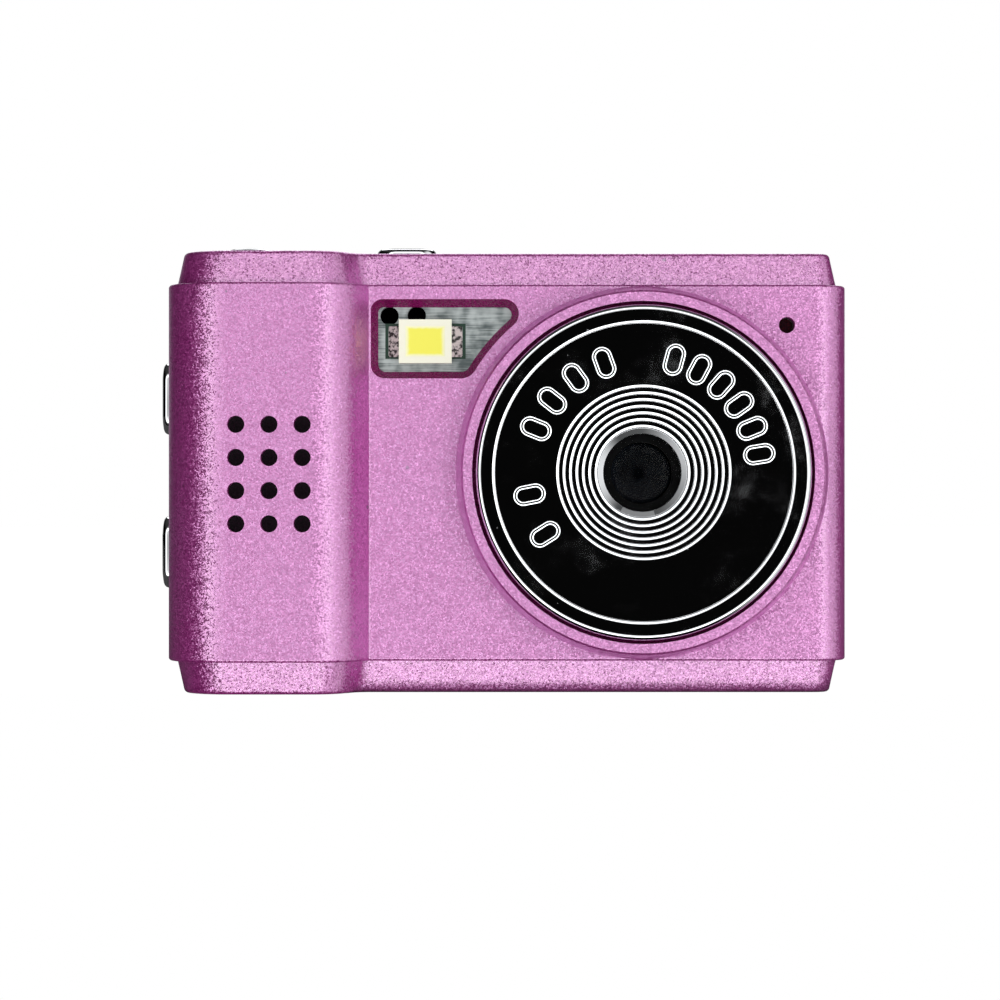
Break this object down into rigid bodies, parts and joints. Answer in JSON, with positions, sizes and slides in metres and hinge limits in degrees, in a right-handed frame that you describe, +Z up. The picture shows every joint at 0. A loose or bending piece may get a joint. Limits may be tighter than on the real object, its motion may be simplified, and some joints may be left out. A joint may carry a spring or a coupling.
{
  "type": "compact digital camera",
  "caption": "Pocket digital camera with a grip, round chrome lens bezel, LED lamp window, sound grille, push buttons, rear display and side sockets.",
  "frame": {"origin": "centre of the flat base, half way between the flat front and the rear face", "axes": "+X right seen from the front, the front and lens face -Y, +Z up"},
  "size_m": [0.0432, 0.0178, 0.0281],
  "materials": {
    "painted_shell": "metallic pink-violet paint with fine flake, over moulded plastic",
    "chrome_trim": "bright plated",
    "clear_cover": "clear moulded",
    "lens_glass": "coated",
    "filter_glass": "coated",
    "black_plastic": "fine texture",
    "plunger_plastic": "moulded",
    "bare_steel": "bright rolled",
    "circuit_board": "solder mask over glass fibre",
    "metal_board": "brushed",
    "chip_resin": "moulded resin",
    "capacitor_ceramic": "bare",
    "led_white": "matte",
    "led_phosphor": "cast silicone with phosphor",
    "solder": "dull tin",
    "speaker_case": "moulded",
    "speaker_fabric": "fine woven",
    "foam": "open cell",
    "mic_rubber": "matte",
    "mic_case": "drawn",
    "battery_foil": "laminated foil",
    "tray_plastic": "moulded",
    "red_insulation": "satin",
    "black_insulation": "satin",
    "flat_cable": "polyimide film",
    "display_glass": "polished"
  },
  "bodies": {
    "camera": {"front_cover": "painted_shell", "rear_cover": "painted_shell", "lens_bezel": "chrome_trim", "lens_window": "clear_cover", "screen_window": "clear_cover", "status_light": "clear_cover", "front_lens": "lens_glass", "rear_lens": "lens_glass", "infrared_filter": "filter_glass", "lens_barrel": "black_plastic", "lens_spacer": "black_plastic", "lens_holder": "black_plastic", "display_frame": "black_plastic", "shutter_switch": "black_plastic", "mode_switch": "black_plastic", "power_switch": "black_plastic", "menu_switch": "black_plastic", "usb_tongue": "black_plastic", "camera_connector": "plunger_plastic", "case_screws": "bare_steel", "module_screws": "bare_steel", "strap_pin": "bare_steel", "usb_socket": "bare_steel", "card_socket": "bare_steel", "crystal": "bare_steel", "main_board": "circuit_board", "sensor_board": "circuit_board", "led_board": "metal_board", "processor_chip": "chip_resin", "memory_chip": "chip_resin", "image_sensor": "chip_resin", "chip_capacitors": "capacitor_ceramic", "flash_led": "led_white", "status_led": "led_white", "flash_phosphor": "led_phosphor", "led_solder": "solder", "speaker": "speaker_case", "speaker_cloth": "speaker_fabric", "speaker_pad": "foam", "mic_boot": "mic_rubber", "microphone": "mic_case", "battery": "battery_foil", "battery_tray": "tray_plastic", "battery_lead_red": "red_insulation", "led_leads": "red_insulation", "battery_lead_black": "black_insulation", "speaker_leads": "black_insulation", "mic_leads": "black_insulation", "camera_flex": "flat_cable", "display_panel": "display_glass"},
    "shutter": {"shutter_button": "chrome_trim", "shutter_plunger": "plunger_plastic"},
    "mode": {"mode_button": "chrome_trim", "mode_plunger": "plunger_plastic"},
    "power": {"power_button": "chrome_trim", "power_plunger": "plunger_plastic"},
    "menu": {"menu_button": "chrome_trim", "menu_plunger": "plunger_plastic"}
  },
  "joints": [
    {"name": "shutter_press", "type": "slide", "parent": "camera", "child": "shutter", "axis": [0, 0, -1], "range_m": [0, 0.00025], "stiffness_N_per_m": 800},
    {"name": "mode_press", "type": "slide", "parent": "camera", "child": "mode", "axis": [0, 0, -1], "range_m": [0, 0.00025], "stiffness_N_per_m": 800},
    {"name": "power_press", "type": "slide", "parent": "camera", "child": "power", "axis": [1, 0, 0], "range_m": [0, 0.00025], "stiffness_N_per_m": 800},
    {"name": "menu_press", "type": "slide", "parent": "camera", "child": "menu", "axis": [1, 0, 0], "range_m": [0, 0.00025], "stiffness_N_per_m": 800}
  ]
}
